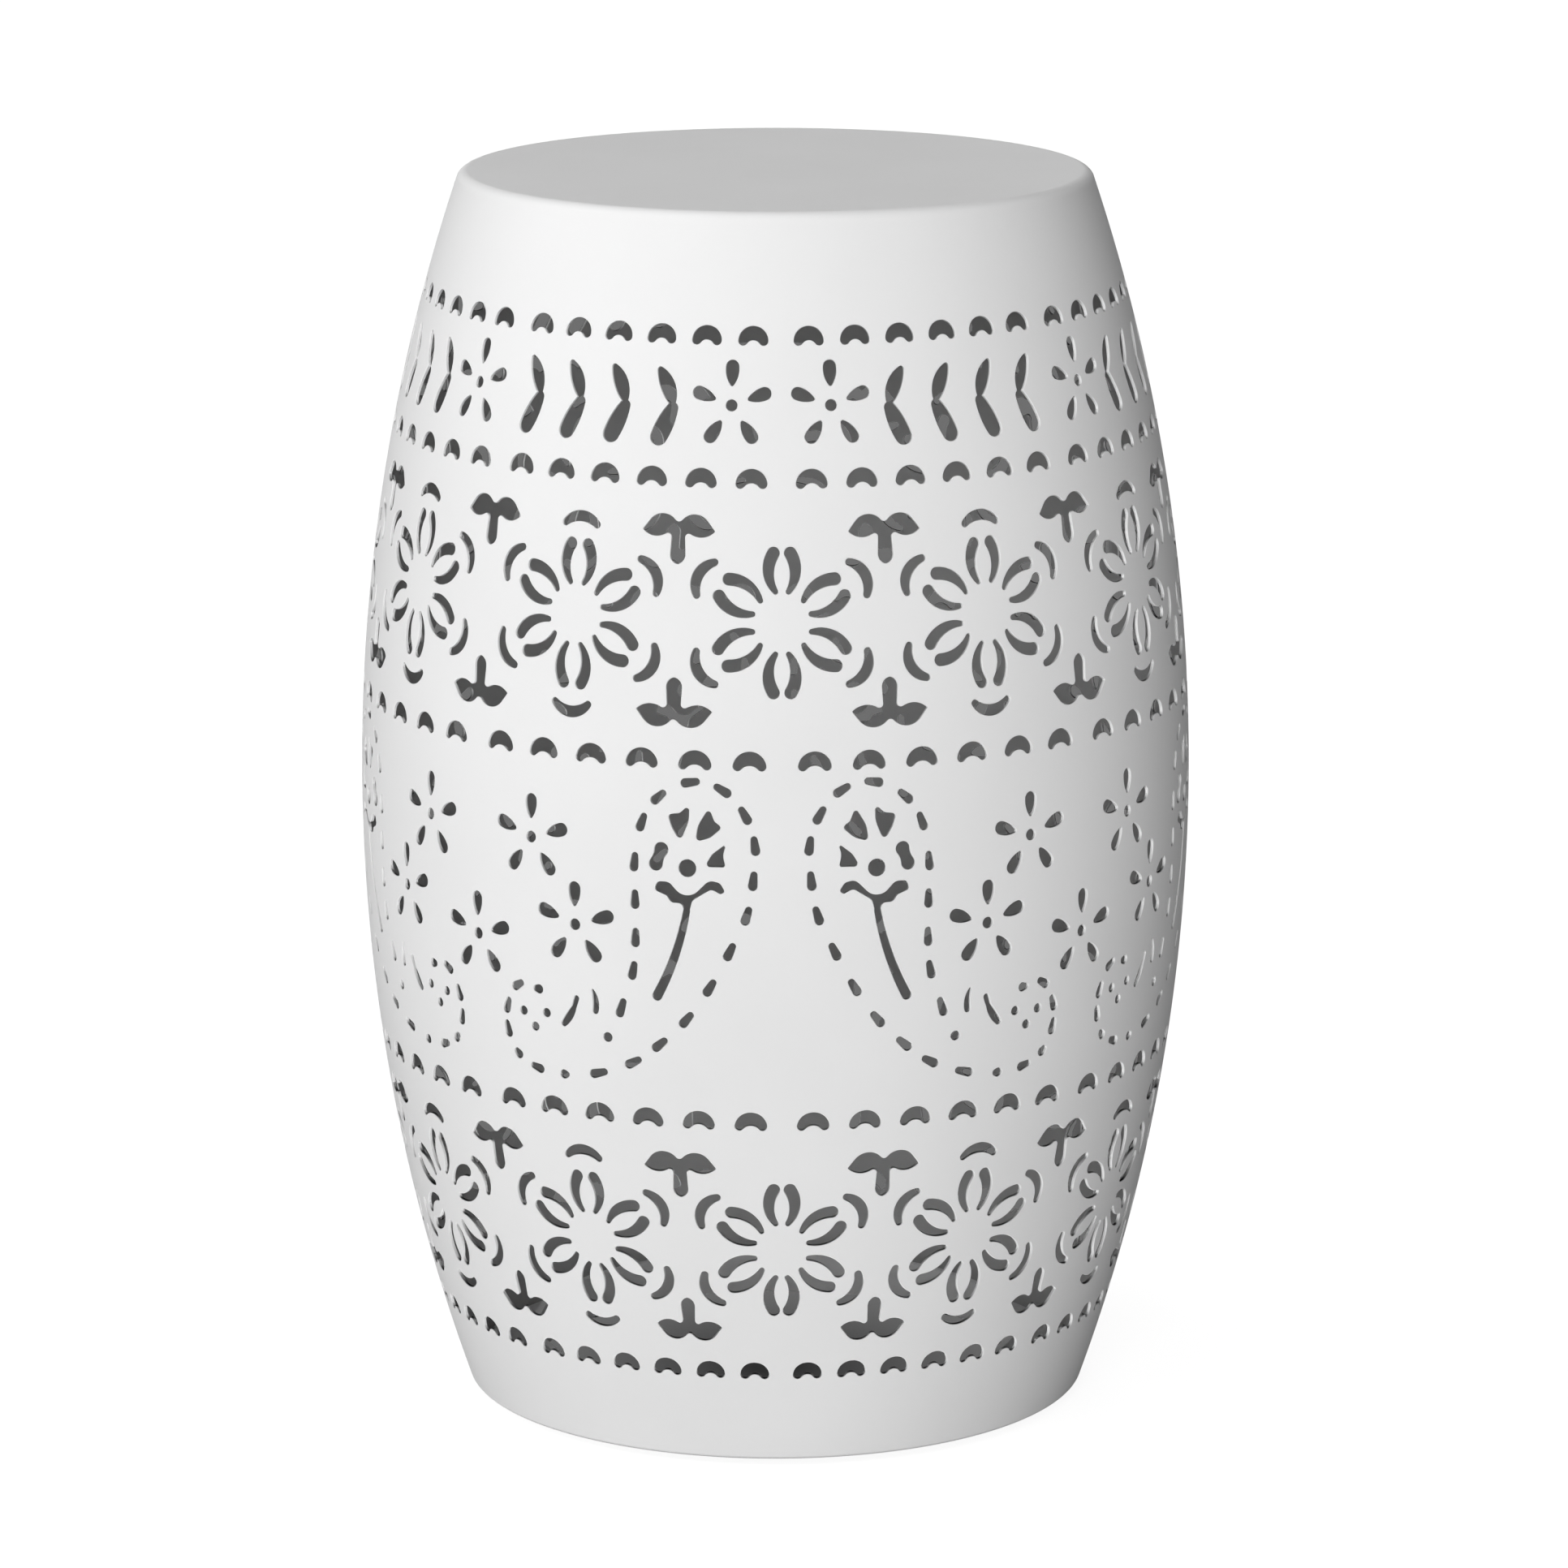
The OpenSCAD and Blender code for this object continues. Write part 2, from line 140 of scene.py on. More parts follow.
# Middle of each dash of the paisley's outline and the length between its end centres
DASHES = (
    (56.7, -50.7, 4.4), (52, -36.6, 4), (50.9, -24.5, 4), (50.9, -10.7, 4), (51, 2.7, 4),
    (48.3, 17, 4), (42.3, 26.2, 3.8), (31.2, 31.8, 4), (20.5, 29.4, 4), (12.8, 20.8, 4),
    (9.3, 10.1, 4), (9.8, -2.4, 4), (12, -14.9, 4), (17.8, -28, 4), (24.8, -41.3, 4),
    (33.1, -53.4, 4), (42.9, -63.2, 4), (52.9, -70.7, 4), (66.4, -76.1, 4.4), (80.2, -78.4, 0.9),
    (92.2, -77.5, 3), (100.3, -73.3, 1.3), (104.2, -64.7, 3.4), (103.6, -55.9, 3.4), (98.2, -47.6, 3),
    (89.7, -47.9, 1.3),
)

# Corners of the leaf shapes, each with the radius that rounds it
SPRIG_HALF = (
    (3.2, -5.6, 6.2), (9.05, -5.4, 6.2), (13.4, 0.15, 0.35), (9, 3.8, 7.2), (2.3, -0.1, 1.4),
    (2.9, 10.7, 3.3),
)
SPRIG_NOTCH = (0, -2.04, 1.65)
SPRIG_END = (0, 11.7, 1)
LEFT_LEAF = (
    (1.75, -2.4, 1.2), (1.1, 3, 8), (-2.85, 9.6, 1), (-4.75, 4.8, 1.5), (-7.5, 2.75, 1.1), (-3.2, -0.9, 6),
)
RIGHT_LEAF = (
    (-0.1, -3.1, 1.25), (3, 2.1, 6), (4.35, 6.35, 1.2), (0.1, 6.9, 2), (-3.3, 10.1, 0.9), (-3.1, 4.2, 10),
)
SIDE_LEAF = ((-1.3, -1.95, 0.8), (6, -2.05, 1.1), (3.5, 2.3, 6), (-1.5, 6.2, 0.45), (-0.25, 2, 6))
CALYX = (
    (0.6, -0.8, 0.1), (1, 2.9, 2), (5.2, 2.9, 2.2), (6.7, 5.35, 1.2), (11.1, 7.05, 1.2), (10.2, 10.1, 1.8),
    (5.9, 10.1, 3), (-0.3, 3.2, 5.3), (-8.4, 11.3, 3.2), (-12.1, 10.4, 2.2), (-13.9, 7.4, 0.8),
    (-12.3, 6.6, 0.8), (-9.1, 8.3, 2), (-2.3, 4, 3), (-1.1, -0.8, 0.1),
)

# Single slots: centre and radius of the tail, the same of the tip, and radii of the left and right sides
CHEVRON_UPPER = ((2.3, 0.9), 1.1, (7.4, 12), 1.1, 11, 20)
CHEVRON_LOWER = ((2.2, -0.9), 2, (6.5, -11), 3, 30, 30)
HEAD_SLOT = ((-0.9, 2.4), 2.5, (1.05, -2.75), 2.45, -6, -6)
STEM = ((-0.35, 0), 1.2, (10.7, -31.3), 1.75, -104, 106)
CURL_COMMA = ((0, 0), 1.1, (0.8, 7.4), 0.4, 9, -25)
CURL_HOOK_UPPER = ((-1.2, 3.5), 1, (0, 0), 0.9, 60, 60)
CURL_HOOK_LOWER = ((0, 0), 0.9, (4.3, -6.4), 1.1, 60, 12)

# Places of the paisley's inner shapes on the sheet, and its dots with their radii
HEAD_LEAVES = (((27.7, 13.4), LEFT_LEAF), ((34.9, 13.8), RIGHT_LEAF), ((20.5, 4.2), SIDE_LEAF))
HEAD_SLOT_AT = (42.3, 5.2)
HEAD_DOT = ((32.3, 1.4), 3.1)
STEM_AT = (33, -14)
CURL_DOTS = (((62.3, -62.3), 1.7), ((86.4, -56.3), 1.6), ((96.4, -56.9), 1.6), ((91.6, -62.1), 1.6))
CURL_COMMA_AT = (66.6, -53)
CURL_HOOK_AT = (75.1, -52.8)


# Wall section
def on_arc(angle, depth):
    """Radius and height of the wall's arc at an angle above the belly, at a depth below its outer face."""
    return AXIS_R + (ARC_R - depth) * math.cos(angle), DRUM_H / 2 + (ARC_R - depth) * math.sin(angle)


def arc_angle(z, depth):
    """Angle above the belly at which the wall's arc, at a depth below its outer face, passes the height z."""
    return math.asin((z - DRUM_H / 2) / (ARC_R - depth))


SEAM_A = arc_angle(DRUM_H - RIM_BEND, RIM_BEND)
FOOT_A = arc_angle(FOOT_BEND, FOOT_BEND)
SEAM_S = ARC_R * SEAM_A
FOOT_S = ARC_R * FOOT_A
FOOT_C = on_arc(FOOT_A, FOOT_BEND)[0]
BEND_L = FOOT_BEND * (FOOT_A + math.pi / 2)
LIP_L = FOOT_LIP - FOOT_BEND


def stretch(s):
    """How wide a millimetre of the sheet has become where the rolled wall passes the height s."""
    return (AXIS_R + ARC_R * np.cos(np.maximum(s, FOOT_S) / ARC_R)) * TURN


def section(s, depth):
    """Radius, height and outward normal along the wall, round the foot's bend and along its lip."""
    angle = s / ARC_R
    past = FOOT_S - s
    bend_a = FOOT_A - np.clip(past, 0, BEND_L) / FOOT_BEND
    angle = np.where(past > 0, bend_a, angle)
    bend_r = FOOT_C + (FOOT_BEND - depth) * np.cos(bend_a)
    bend_z = FOOT_BEND + (FOOT_BEND - depth) * np.sin(bend_a)
    wall_r = AXIS_R + (ARC_R - depth) * np.cos(angle)
    wall_z = DRUM_H / 2 + (ARC_R - depth) * np.sin(angle)
    r = np.where(past > 0, bend_r, wall_r) - np.maximum(past - BEND_L, 0)
    z = np.where(past > 0, bend_z, wall_z)
    return r, z, np.cos(angle), np.sin(angle)


def on_wall(x, s, depth):
    """Points and outward normals of sheet positions on the rolled wall, in metres."""
    r, z, nr, nz = section(s, depth)
    turn = x * TURN
    out = np.stack([np.sin(turn), -np.cos(turn)], 1)
    points = np.column_stack([out * r[:, None], z + FOOT_Z]) * MM
    return points, np.column_stack([out * nr[:, None], nz])


# Outlines of the holes, counter-clockwise, in millimetres on the flat sheet
def spoke(angle):
    """The point at distance one from the origin, at an angle in radians."""
    return complex(math.cos(angle), math.sin(angle))


def meet(p, a, q, b, side):
    """Point at distance a from p and b from q, left of the way from p to q for side 1."""
    way = q - p
    d = abs(way)
    u = way / d
    x = (a * a - b * b + d * d) / (2 * d)
    return p + u * x + side * math.sqrt(max(0.0, a * a - x * x)) * u * 1j


def arc(c, a, b, turn):
    """Points of the arc about c from a round to b, without b itself."""
    r = abs(a - c)
    way = (b - c) / (a - c)
    span = math.atan2(way.imag, way.real) * turn % (2 * math.pi)
    step = min(OUTLINE_ANGLE, 2 * math.acos(1 - min(OUTLINE_SAG / r, 1)))
    n = max(1, math.ceil(span / step))
    return [c + (a - c) * spoke(turn * span * k / n) for k in range(n)]


def slot(tail, tail_r, tip, tip_r, left, right):
    """Slot with two round ends and two arc sides, bulging for a radius above zero and hollow below it."""
    p, q = complex(*tail), complex(*tip)
    centres = []
    for r, side in ((left, 1), (right, -1)):
        if r > 0:
            centres.append(meet(p, r - tail_r, q, r - tip_r, -side))
        else:
            centres.append(meet(p, tail_r - r, q, tip_r - r, side))
    lc, rc = centres

    def touch(c, e, r):
        return c + (e - c) / abs(e - c) * abs(r)

    return (
        arc(p, touch(lc, p, left), touch(rc, p, right), 1)
        + arc(rc, touch(rc, p, right), touch(rc, q, right), math.copysign(1, right))
        + arc(q, touch(rc, q, right), touch(lc, q, left), 1)
        + arc(lc, touch(lc, q, left), touch(lc, p, left), math.copysign(1, left))
    )


def rounded(corners):
    """Outline through corners (x, y, radius), each of them rounded by an arc."""
    outline = []
    for k, (x, y, r) in enumerate(corners):
        p = complex(x, y)
        back = complex(*corners[k - 1][:2]) - p
        ahead = complex(*corners[(k + 1) % len(corners)][:2]) - p
        back /= abs(back)
        ahead /= abs(ahead)
        half = math.acos((ahead / back).real) / 2
        centre = p + (back + ahead) / abs(back + ahead) * r / math.sin(half)
        start, end = p + back * r / math.tan(half), p + ahead * r / math.tan(half)
        outline += arc(centre, start, end, -math.copysign(1, (ahead / back).imag)) + [end]
    return outline


def disc(r):
    """Round outline of radius r."""
    n = math.ceil(2 * math.pi / OUTLINE_ANGLE)
    return [r * spoke(2 * math.pi * k / n) for k in range(n)]


def turned(x, y, degrees):
    """The point turned about the origin, counter-clockwise."""
    p = complex(x, y) * spoke(math.radians(degrees))
    return p.real, p.imag


holes = []


def cut(at, outline, mirrored=False):
    """Adds a hole, drawn in real millimetres about the sheet position at, and its mirror image if asked."""
    points = np.array([(p.real, p.imag) for p in outline])
    s = at[1] + points[:, 1]
    x = at[0] + points[:, 0] / stretch(at[1])
    holes.append(np.column_stack([x, s]))
    if mirrored:
        holes.append(np.column_stack([QUARTER_W - x, s])[::-1])


def cut_slot(at, tail, tail_r, tip, tip_r, left, right, mirrored=False):
    """A slot whose end centres are measured on the flat sheet about at."""
    mx, my = (tail[0] + tip[0]) / 2, (tail[1] + tip[1]) / 2
    hx = (tip[0] - tail[0]) / 2 * stretch(at[1] + my)
    hy = (tip[1] - tail[1]) / 2
    cut((at[0] + mx, at[1] + my), slot((-hx, -hy), tail_r, (hx, hy), tip_r, left, right), mirrored)


def crown_radius(c, t, k):
    """Radius of a side whose crown rises by t over end centres 2 c apart.

    For a bulging side k is t less the end radius, and for a hollow one t plus it.
    """
    return t + (c * c - k * k) / (2 * k)


def crescent(at, mirrored=False):
    """A slot with a high crown above and a slight hollow below."""
    c = CRESCENT_HALF * stretch(at[1])
    crown = crown_radius(c, CRESCENT_CROWN, CRESCENT_CROWN - CRESCENT_END)
    inside = -crown_radius(c, CRESCENT_HOLLOW, CRESCENT_HOLLOW + CRESCENT_END)
    ends = (-c, -CRESCENT_DROP), (c, -CRESCENT_DROP)
    cut(at, slot(ends[0], CRESCENT_END, ends[1], CRESCENT_END, crown, inside), mirrored)


def flower(at, reach, outer, mirrored=False):
    """A dot and five petals that reach so far, each with an outer end of radius outer."""
    cut(at, disc(DOT_R), mirrored)
    for k in range(5):
        a = 90 + 72 * k
        root, tip = turned(FLOWER_ROOT, 0, a), turned(reach, 0, a)
        cut_slot(at, root, FLOWER_ROOT_R, tip, outer, FLOWER_BOW, FLOWER_BOW, mirrored)


def chevron(at):
    """An upper and a lower slot that meet at the height of at."""
    cut(at, slot(*CHEVRON_UPPER))
    cut(at, slot(*CHEVRON_LOWER))


def petal(at, a, sides=(1, -1)):
    """The two slots that bow about a rosette's petal at a degrees, or one of them."""
    for side in sides:
        root = turned(PETAL_ROOT, PETAL_ROOT_ASIDE * side, a)
        tip = turned(PETAL_TIP, PETAL_TIP_ASIDE * side, a)
        cut_slot(at, root, PETAL_ROOT_R, tip, PETAL_TIP_R, PETAL_BOW * side, -PETAL_BOW * side, True)


def bracket(at, a, reach=BRACKET_REACH):
    """The curved slot that stands outside a rosette at a degrees."""
    low, high = turned(reach, -BRACKET_HALF, a), turned(reach, BRACKET_HALF, a)
    cut_slot(at, low, BRACKET_R, high, BRACKET_R, BRACKET_HOLLOW, BRACKET_BOW, True)


def sprig(at, up, mirrored=False):
    """Two leaves on a short stem that points up for up 1 and down for -1."""
    other_half = [(-x, y, r) for x, y, r in reversed(SPRIG_HALF)]
    outline = rounded([SPRIG_NOTCH, *SPRIG_HALF, SPRIG_END, *other_half])
    cut(at, [complex(p.real * stretch(at[1]), p.imag) * up for p in outline], mirrored)


def rosette_band():
    """Rosettes with their brackets and sprigs, one whole and one half of them in a tile."""
    for s, sprig_ds, bracket_reach in ROSETTE_ROWS:
        for a in range(30, 360, 60):
            petal((ROSETTE_X, s), a)
        for a in (BRACKET_A, 180 - BRACKET_A, 180 + BRACKET_A, 360 - BRACKET_A):
            bracket((ROSETTE_X, s), a)
        for a in (90, 270):
            bracket((ROSETTE_X, s), a, bracket_reach)
        for a in (-30, 30):
            petal((HALF_ROSETTE_X, s), a)
        for a in HALF_ROSETTE_BRACKETS:
            bracket((HALF_ROSETTE_X, s), a)
        petal((HALF_ROSETTE_X, s), 90, sides=(-1,))
        petal((HALF_ROSETTE_X, s), -90, sides=(1,))
        for side in (-1, 1):
            sprig((SPRIG_X, s + side * sprig_ds), -side, True)
            sprig((TILE_W, s + side * sprig_ds), -side)


def paisley():
    """The paisley of a tile: its dashed outline, the flower inside it and the marks in its curl."""
    last = len(DASHES) - 1
    for i, (x, s, length) in enumerate(DASHES):
        ahead, behind = DASHES[min(i + 1, last)], DASHES[max(i - 1, 0)]
        way = complex(ahead[0] - behind[0], ahead[1] - behind[1])
        half = way / abs(way) * length / 2
        down = half if half.imag < 0 else -half
        tail, tip = (-down.real, -down.imag), (down.real, down.imag)
        cut((x, s), slot(tail, DASH_TIP_R, tip, DASH_R, DASH_BOW, DASH_BOW), True)
    for at, leaf in HEAD_LEAVES:
        cut(at, rounded(leaf), True)
    cut(HEAD_SLOT_AT, slot(*HEAD_SLOT), True)
    cut(HEAD_DOT[0], disc(HEAD_DOT[1]), True)
    cut(STEM_AT, rounded(CALYX), True)
    cut(STEM_AT, slot(*STEM), True)
    for at, r in CURL_DOTS:
        cut(at, disc(r), True)
    cut(CURL_COMMA_AT, slot(*CURL_COMMA), True)
    cut(CURL_HOOK_AT, slot(*CURL_HOOK_UPPER), True)
    cut(CURL_HOOK_AT, slot(*CURL_HOOK_LOWER), True)


def pattern():
    """All holes of one quarter of the wall."""
    for s in CRESCENT_ROWS:
        for j in range(CRESCENTS):
            crescent((TILE_W / 2 + (j - (CRESCENTS - 1) / 2) * CRESCENT_PITCH, s), True)
    rosette_band()
    paisley()
    for at in OPEN_FLOWERS:
        flower(at, *OPEN_PETAL, mirrored=at[0] < TILE_W)
    for tile in (0, 1):
        flower((GARLAND_FLOWER_X + tile * TILE_W, GARLAND_S), *GARLAND_PETAL)
        for k in range(CHEVRONS):
            chevron((CHEVRON_X + k * CHEVRON_PITCH + tile * TILE_W, CHEVRON_S))


# Meshes
def make_mesh(name, points, faces, normals, inside=()):
    """Mesh object in metres, from corner normals given face by face and the numbers of its inner faces."""
    mesh = bpy.data.meshes.new(name)
    mesh.from_pydata(points.tolist(), [], faces)
    mesh.polygons.foreach_set("use_smooth", [True] * len(faces))
    for k in inside:
        mesh.polygons[k].material_index = 1
    mesh.normals_split_custom_set(np.concatenate(normals).tolist())
    mesh.validate(clean_customdata=False)
    mesh.update()
    piece = bpy.data.objects.new(name, mesh)
    bpy.context.scene.collection.objects.link(piece)
    return piece


def sheet_rows():
    """Heights of the mesh's rows from the seat's seam down to the lip's edge."""
    wall = np.linspace(SEAM_S, FOOT_S, round((SEAM_S - FOOT_S) / ROW_STEP) + 1)
    round_foot = FOOT_S - np.linspace(0, BEND_L, BEND_ROWS + 1)[1:]
    return np.concatenate([wall, round_foot, [FOOT_S - BEND_L - LIP_L]])


def triangulate():
    """Sheet positions and kept triangles, from a grid cut by the holes' outlines."""
    rows = sheet_rows()
    columns = np.linspace(0, QUARTER_W, COLUMNS + 1)
    rim = [(x, rows[-1]) for x in columns]
    rim += [(QUARTER_W, s) for s in rows[-2:0:-1]]
    rim += [(x, rows[0]) for x in columns[::-1]]
    rim += [(0, s) for s in rows[1:-1]]
    points = [Vector(p) for p in rim]
    rim_edges = [(k, (k + 1) % len(rim)) for k in range(len(rim))]
    tree = kdtree.KDTree(sum(map(len, holes)))
    loops = []
    for hole in holes:
        loops.append(list(range(len(points), len(points) + len(hole))))
        for p in hole:
            tree.insert((p[0], p[1], 0), len(points))
            points.append(Vector(p))
    tree.balance()
    for s in rows[1:-1]:
        for x in columns[1:-1]:
            if tree.find((x, s, 0))[2] > CLEAR:
                points.append(Vector((x, s)))
    cut_up = geometry.delaunay_2d_cdt(points, rim_edges, loops, 0, WELD)
    flat = np.array([tuple(p) for p in cut_up[0]])
    kept = [f for f, inside in zip(cut_up[2], cut_up[5]) if not inside]
    used = sorted({v for f in kept for v in f})
    number = {v: i for i, v in enumerate(used)}
    return flat[used], np.array([[number[v] for v in f] for f in kept])


def open_edges(triangles):
    """Directed edges that only one triangle has, with the kept sheet on their left."""
    pairs = {(t[k], t[(k + 1) % 3]) for t in triangles.tolist() for k in range(3)}
    return np.array([p for p in pairs if (p[1], p[0]) not in pairs])


def ways_into_sheet(x, s, hole_edges):
    """Ways into the sheet at the holes' edges in real millimetres: mitred for an offset of one, and units."""
    real = np.column_stack([x * stretch(s), s])
    along = real[hole_edges[:, 1]] - real[hole_edges[:, 0]]
    along /= np.linalg.norm(along, axis=1)[:, None]
    inward = np.column_stack([-along[:, 1], along[:, 0]])
    way = np.zeros_like(real)
    np.add.at(way, hole_edges[:, 0], inward)
    np.add.at(way, hole_edges[:, 1], inward)
    size = np.linalg.norm(way, axis=1)
    at_hole = size > 0.1
    way[at_hole] /= np.maximum(size[at_hole], 1.0)[:, None] ** 2 / 2
    unit = np.zeros_like(way)
    unit[at_hole] = way[at_hole] / np.linalg.norm(way[at_hole], axis=1)[:, None]
    return way, unit


def quarter_wall():
    """Points, faces and corner normals of one pierced quarter of the wall."""
    flat, triangles = triangulate()
    x, s = flat[:, 0], flat[:, 1]
    a, b = flat[triangles[:, 1]] - flat[triangles[:, 0]], flat[triangles[:, 2]] - flat[triangles[:, 0]]
    clockwise = a[:, 0] * b[:, 1] - a[:, 1] * b[:, 0] < 0
    triangles[clockwise] = triangles[clockwise][:, ::-1]
    edges = open_edges(triangles)
    low = sheet_rows()[-1]
    on_rim = (x < ON_RIM) | (x > QUARTER_W - ON_RIM) | (s < low + ON_RIM) | (s > SEAM_S - ON_RIM)
    rim_edge = on_rim[edges[:, 0]] & on_rim[edges[:, 1]]
    hole_edges, rim_edges = edges[~rim_edge], edges[rim_edge]
    way, unit = ways_into_sheet(x, s, hole_edges)

    # Rings of points through the sheet's thickness, each by its depth and its offset from the hole's edge
    diagonal = math.sqrt(0.5)
    slant = 1 - diagonal
    rings = (
        (0.0, OUTER_ROUND),
        (OUTER_ROUND * slant, OUTER_ROUND * slant),
        (OUTER_ROUND, 0.0),
        (SHEET_T - INNER_ROUND, 0.0),
        (SHEET_T, INNER_ROUND),
    )
    points, face_normals = [], []
    for depth, offset in rings:
        moved_x = x + way[:, 0] * offset / stretch(s)
        ring_points, out = on_wall(moved_x, s + way[:, 1] * offset, depth)
        points.append(ring_points)
        face_normals.append(out)
    count = len(flat)
    side_x = np.column_stack([np.cos(x * TURN), np.sin(x * TURN), np.zeros(count)])
    side_s = np.cross(face_normals[0], side_x) * -1
    hole_way = -(side_x * unit[:, :1] + side_s * unit[:, 1:])
    out = face_normals[0]
    slanted = (out + hole_way) * diagonal
    ring_normals = (out, slanted, hole_way, hole_way, -out)

    faces = triangles.tolist()
    normals = [out[triangles].reshape(-1, 3)]
    inner = triangles[:, ::-1] + 4 * count
    faces += inner.tolist()
    normals.append(-out[triangles[:, ::-1]].reshape(-1, 3))
    for k in range(4):
        i, j = hole_edges[:, 1], hole_edges[:, 0]
        quads = np.column_stack([i + k * count, j + k * count, j + (k + 1) * count, i + (k + 1) * count])
        faces += quads.tolist()
        upper, lower = ring_normals[k], ring_normals[k + 1]
        normals.append(np.stack([upper[i], upper[j], lower[j], lower[i]], 1).reshape(-1, 3))
    i, j = rim_edges[:, 1], rim_edges[:, 0]
    faces += np.column_stack([i, j, j + 4 * count, i + 4 * count]).tolist()
    step = points[0][i] - points[0][j]
    flat_normal = np.cross(step, out[i])
    flat_normal /= np.linalg.norm(flat_normal, axis=1)[:, None]
    normals.append(np.repeat(flat_normal, 4, 0))

    points = np.concatenate(points)
    faces_used = sorted({v for f in faces for v in f})
    number = np.zeros(len(points), int)
    number[faces_used] = np.arange(len(faces_used))
    inside = range(len(triangles), 2 * len(triangles))
    return points[faces_used], [number[f].tolist() for f in faces], normals, inside


def placed(quarter, swing, mirror):
    """The quarter wall, mirrored in X if asked and then turned about the axis."""
    points, faces, normals, inside = quarter
    sign = np.array([-1.0 if mirror else 1.0, 1.0, 1.0])
    c, s = math.cos(swing), math.sin(swing)
    spin = np.array([[c, -s, 0], [s, c, 0], [0, 0, 1]])
    new_points = points * sign @ spin.T
    new_faces, new_normals, at = [], [], 0
    flat_normals = np.concatenate(normals) * sign @ spin.T
    if not mirror:
        return new_points, faces, [flat_normals], inside
    for f in faces:
        new_faces.append(f[::-1])
        new_normals.append(flat_normals[at:at + len(f)][::-1])
        at += len(f)
    return new_points, new_faces, new_normals, inside


def revolve(name, runs):
    """A solid of revolution from runs of (radius, height, normal radius, normal height), in millimetres."""
    n = 4 * COLUMNS
    angles = np.arange(n) * 2 * math.pi / n
    ring = np.column_stack([np.sin(angles), -np.cos(angles)])
    points, faces, normals, known = [], [], [], {}

    def ring_of(r, z):
        key = (round(r, 5), round(z, 5))
        if key not in known:
            known[key] = len(points)
            if r < ON_AXIS:
                points.append((0, 0, (z + FOOT_Z) * MM))
            else:
                points.extend((r * c[0] * MM, r * c[1] * MM, (z + FOOT_Z) * MM) for c in ring)
        return known[key]

    for run in runs:
        for (r0, z0, a0, b0), (r1, z1, a1, b1) in zip(run, run[1:]):
            first, second = ring_of(r0, z0), ring_of(r1, z1)
            for k in range(n):
                m = (k + 1) % n
                if r0 < ON_AXIS:
                    corners = [(first, k, a0, b0), (second + k, k, a1, b1), (second + m, m, a1, b1)]
                elif r1 < ON_AXIS:
                    corners = [(first + k, k, a0, b0), (second, k, a1, b1), (first + m, m, a0, b0)]
                else:
                    corners = [(first + k, k, a0, b0), (second + k, k, a1, b1),
                               (second + m, m, a1, b1), (first + m, m, a0, b0)]
                faces.append([c[0] for c in corners])
                normals.append([(ring[c[1]][0] * c[2], ring[c[1]][1] * c[2], c[3]) for c in corners])
    return make_mesh(name, np.array(points), faces, [np.array(x) for x in normals])


def line(a, b, steps=1):
    """A straight run from a to b with the normal on its left."""
    dr, dz = b[0] - a[0], b[1] - a[1]
    length = math.hypot(dr, dz)
    nr, nz = -dz / length, dr / length
    return [(a[0] + dr * k / steps, a[1] + dz * k / steps, nr, nz) for k in range(steps + 1)]


def bend(centre, r, start, end, steps):
    """A round run about a centre with its normals outward."""
    run = []
    for k in range(steps + 1):
        a = start + (end - start) * k / steps
        c, s = math.cos(a), math.sin(a)
        run.append((centre[0] + r * c, centre[1] + r * s, c, s))
    return run


def seat():
    """The pressed seat: flat top, rolled rim flush with the wall, and a stepped skirt inside it."""
    rim_c = on_arc(SEAM_A, RIM_BEND)
    outside = SHEET_T + FIT_GAP
    inside = outside + SEAT_T
    plate_z = DRUM_H - SEAT_T
    seam = on_arc(SEAM_A, 0)
    butt = on_arc(SEAM_A, outside)
    down = SEAM_A - SKIRT_H / ARC_R
    foot_out, foot_in = on_arc(down, outside), on_arc(down, inside)
    up_in = on_arc(arc_angle(plate_z, inside), inside)
    return revolve("seat_top", [
        line((0, DRUM_H), (rim_c[0], DRUM_H), PLATE_STEPS),
        bend(rim_c, RIM_BEND, math.pi / 2, SEAM_A, RIM_STEPS),
        line(seam, butt),
        line(butt, foot_out),
        line(foot_out, foot_in),
        line(foot_in, up_in),
        line(up_in, (0, plate_z), PLATE_STEPS),
    ])


pattern()
quarter = quarter_wall()
WALLS = (
    ("pierced_wall_front_right", 0.0, False),
    ("pierced_wall_front_left", 0.0, True),
    ("pierced_wall_rear_left", math.pi, False),
    ("pierced_wall_rear_right", math.pi, True),
)
walls = []
for (name, swing, mirror), node in zip(WALLS, PANELS):
    wall = make_mesh(name, *placed(quarter, swing, mirror))
    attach(wall, "root")
    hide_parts(node)
    walls.append(wall)
seat_top = seat()
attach(seat_top, "root")
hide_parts("seat_plate")


# Materials
def linear(level):
    """A grey of 0 to 255 as a linear value."""
    v = level / 255
    return v / 12.92 if v <= 0.04045 else ((v + 0.055) / 1.055) ** 2.4


CLOUD_SCALE = 14
GLOSS_SPREAD = 0.04
COAT_SPECULAR = 0.25
BUMP_STRENGTH = 0.5


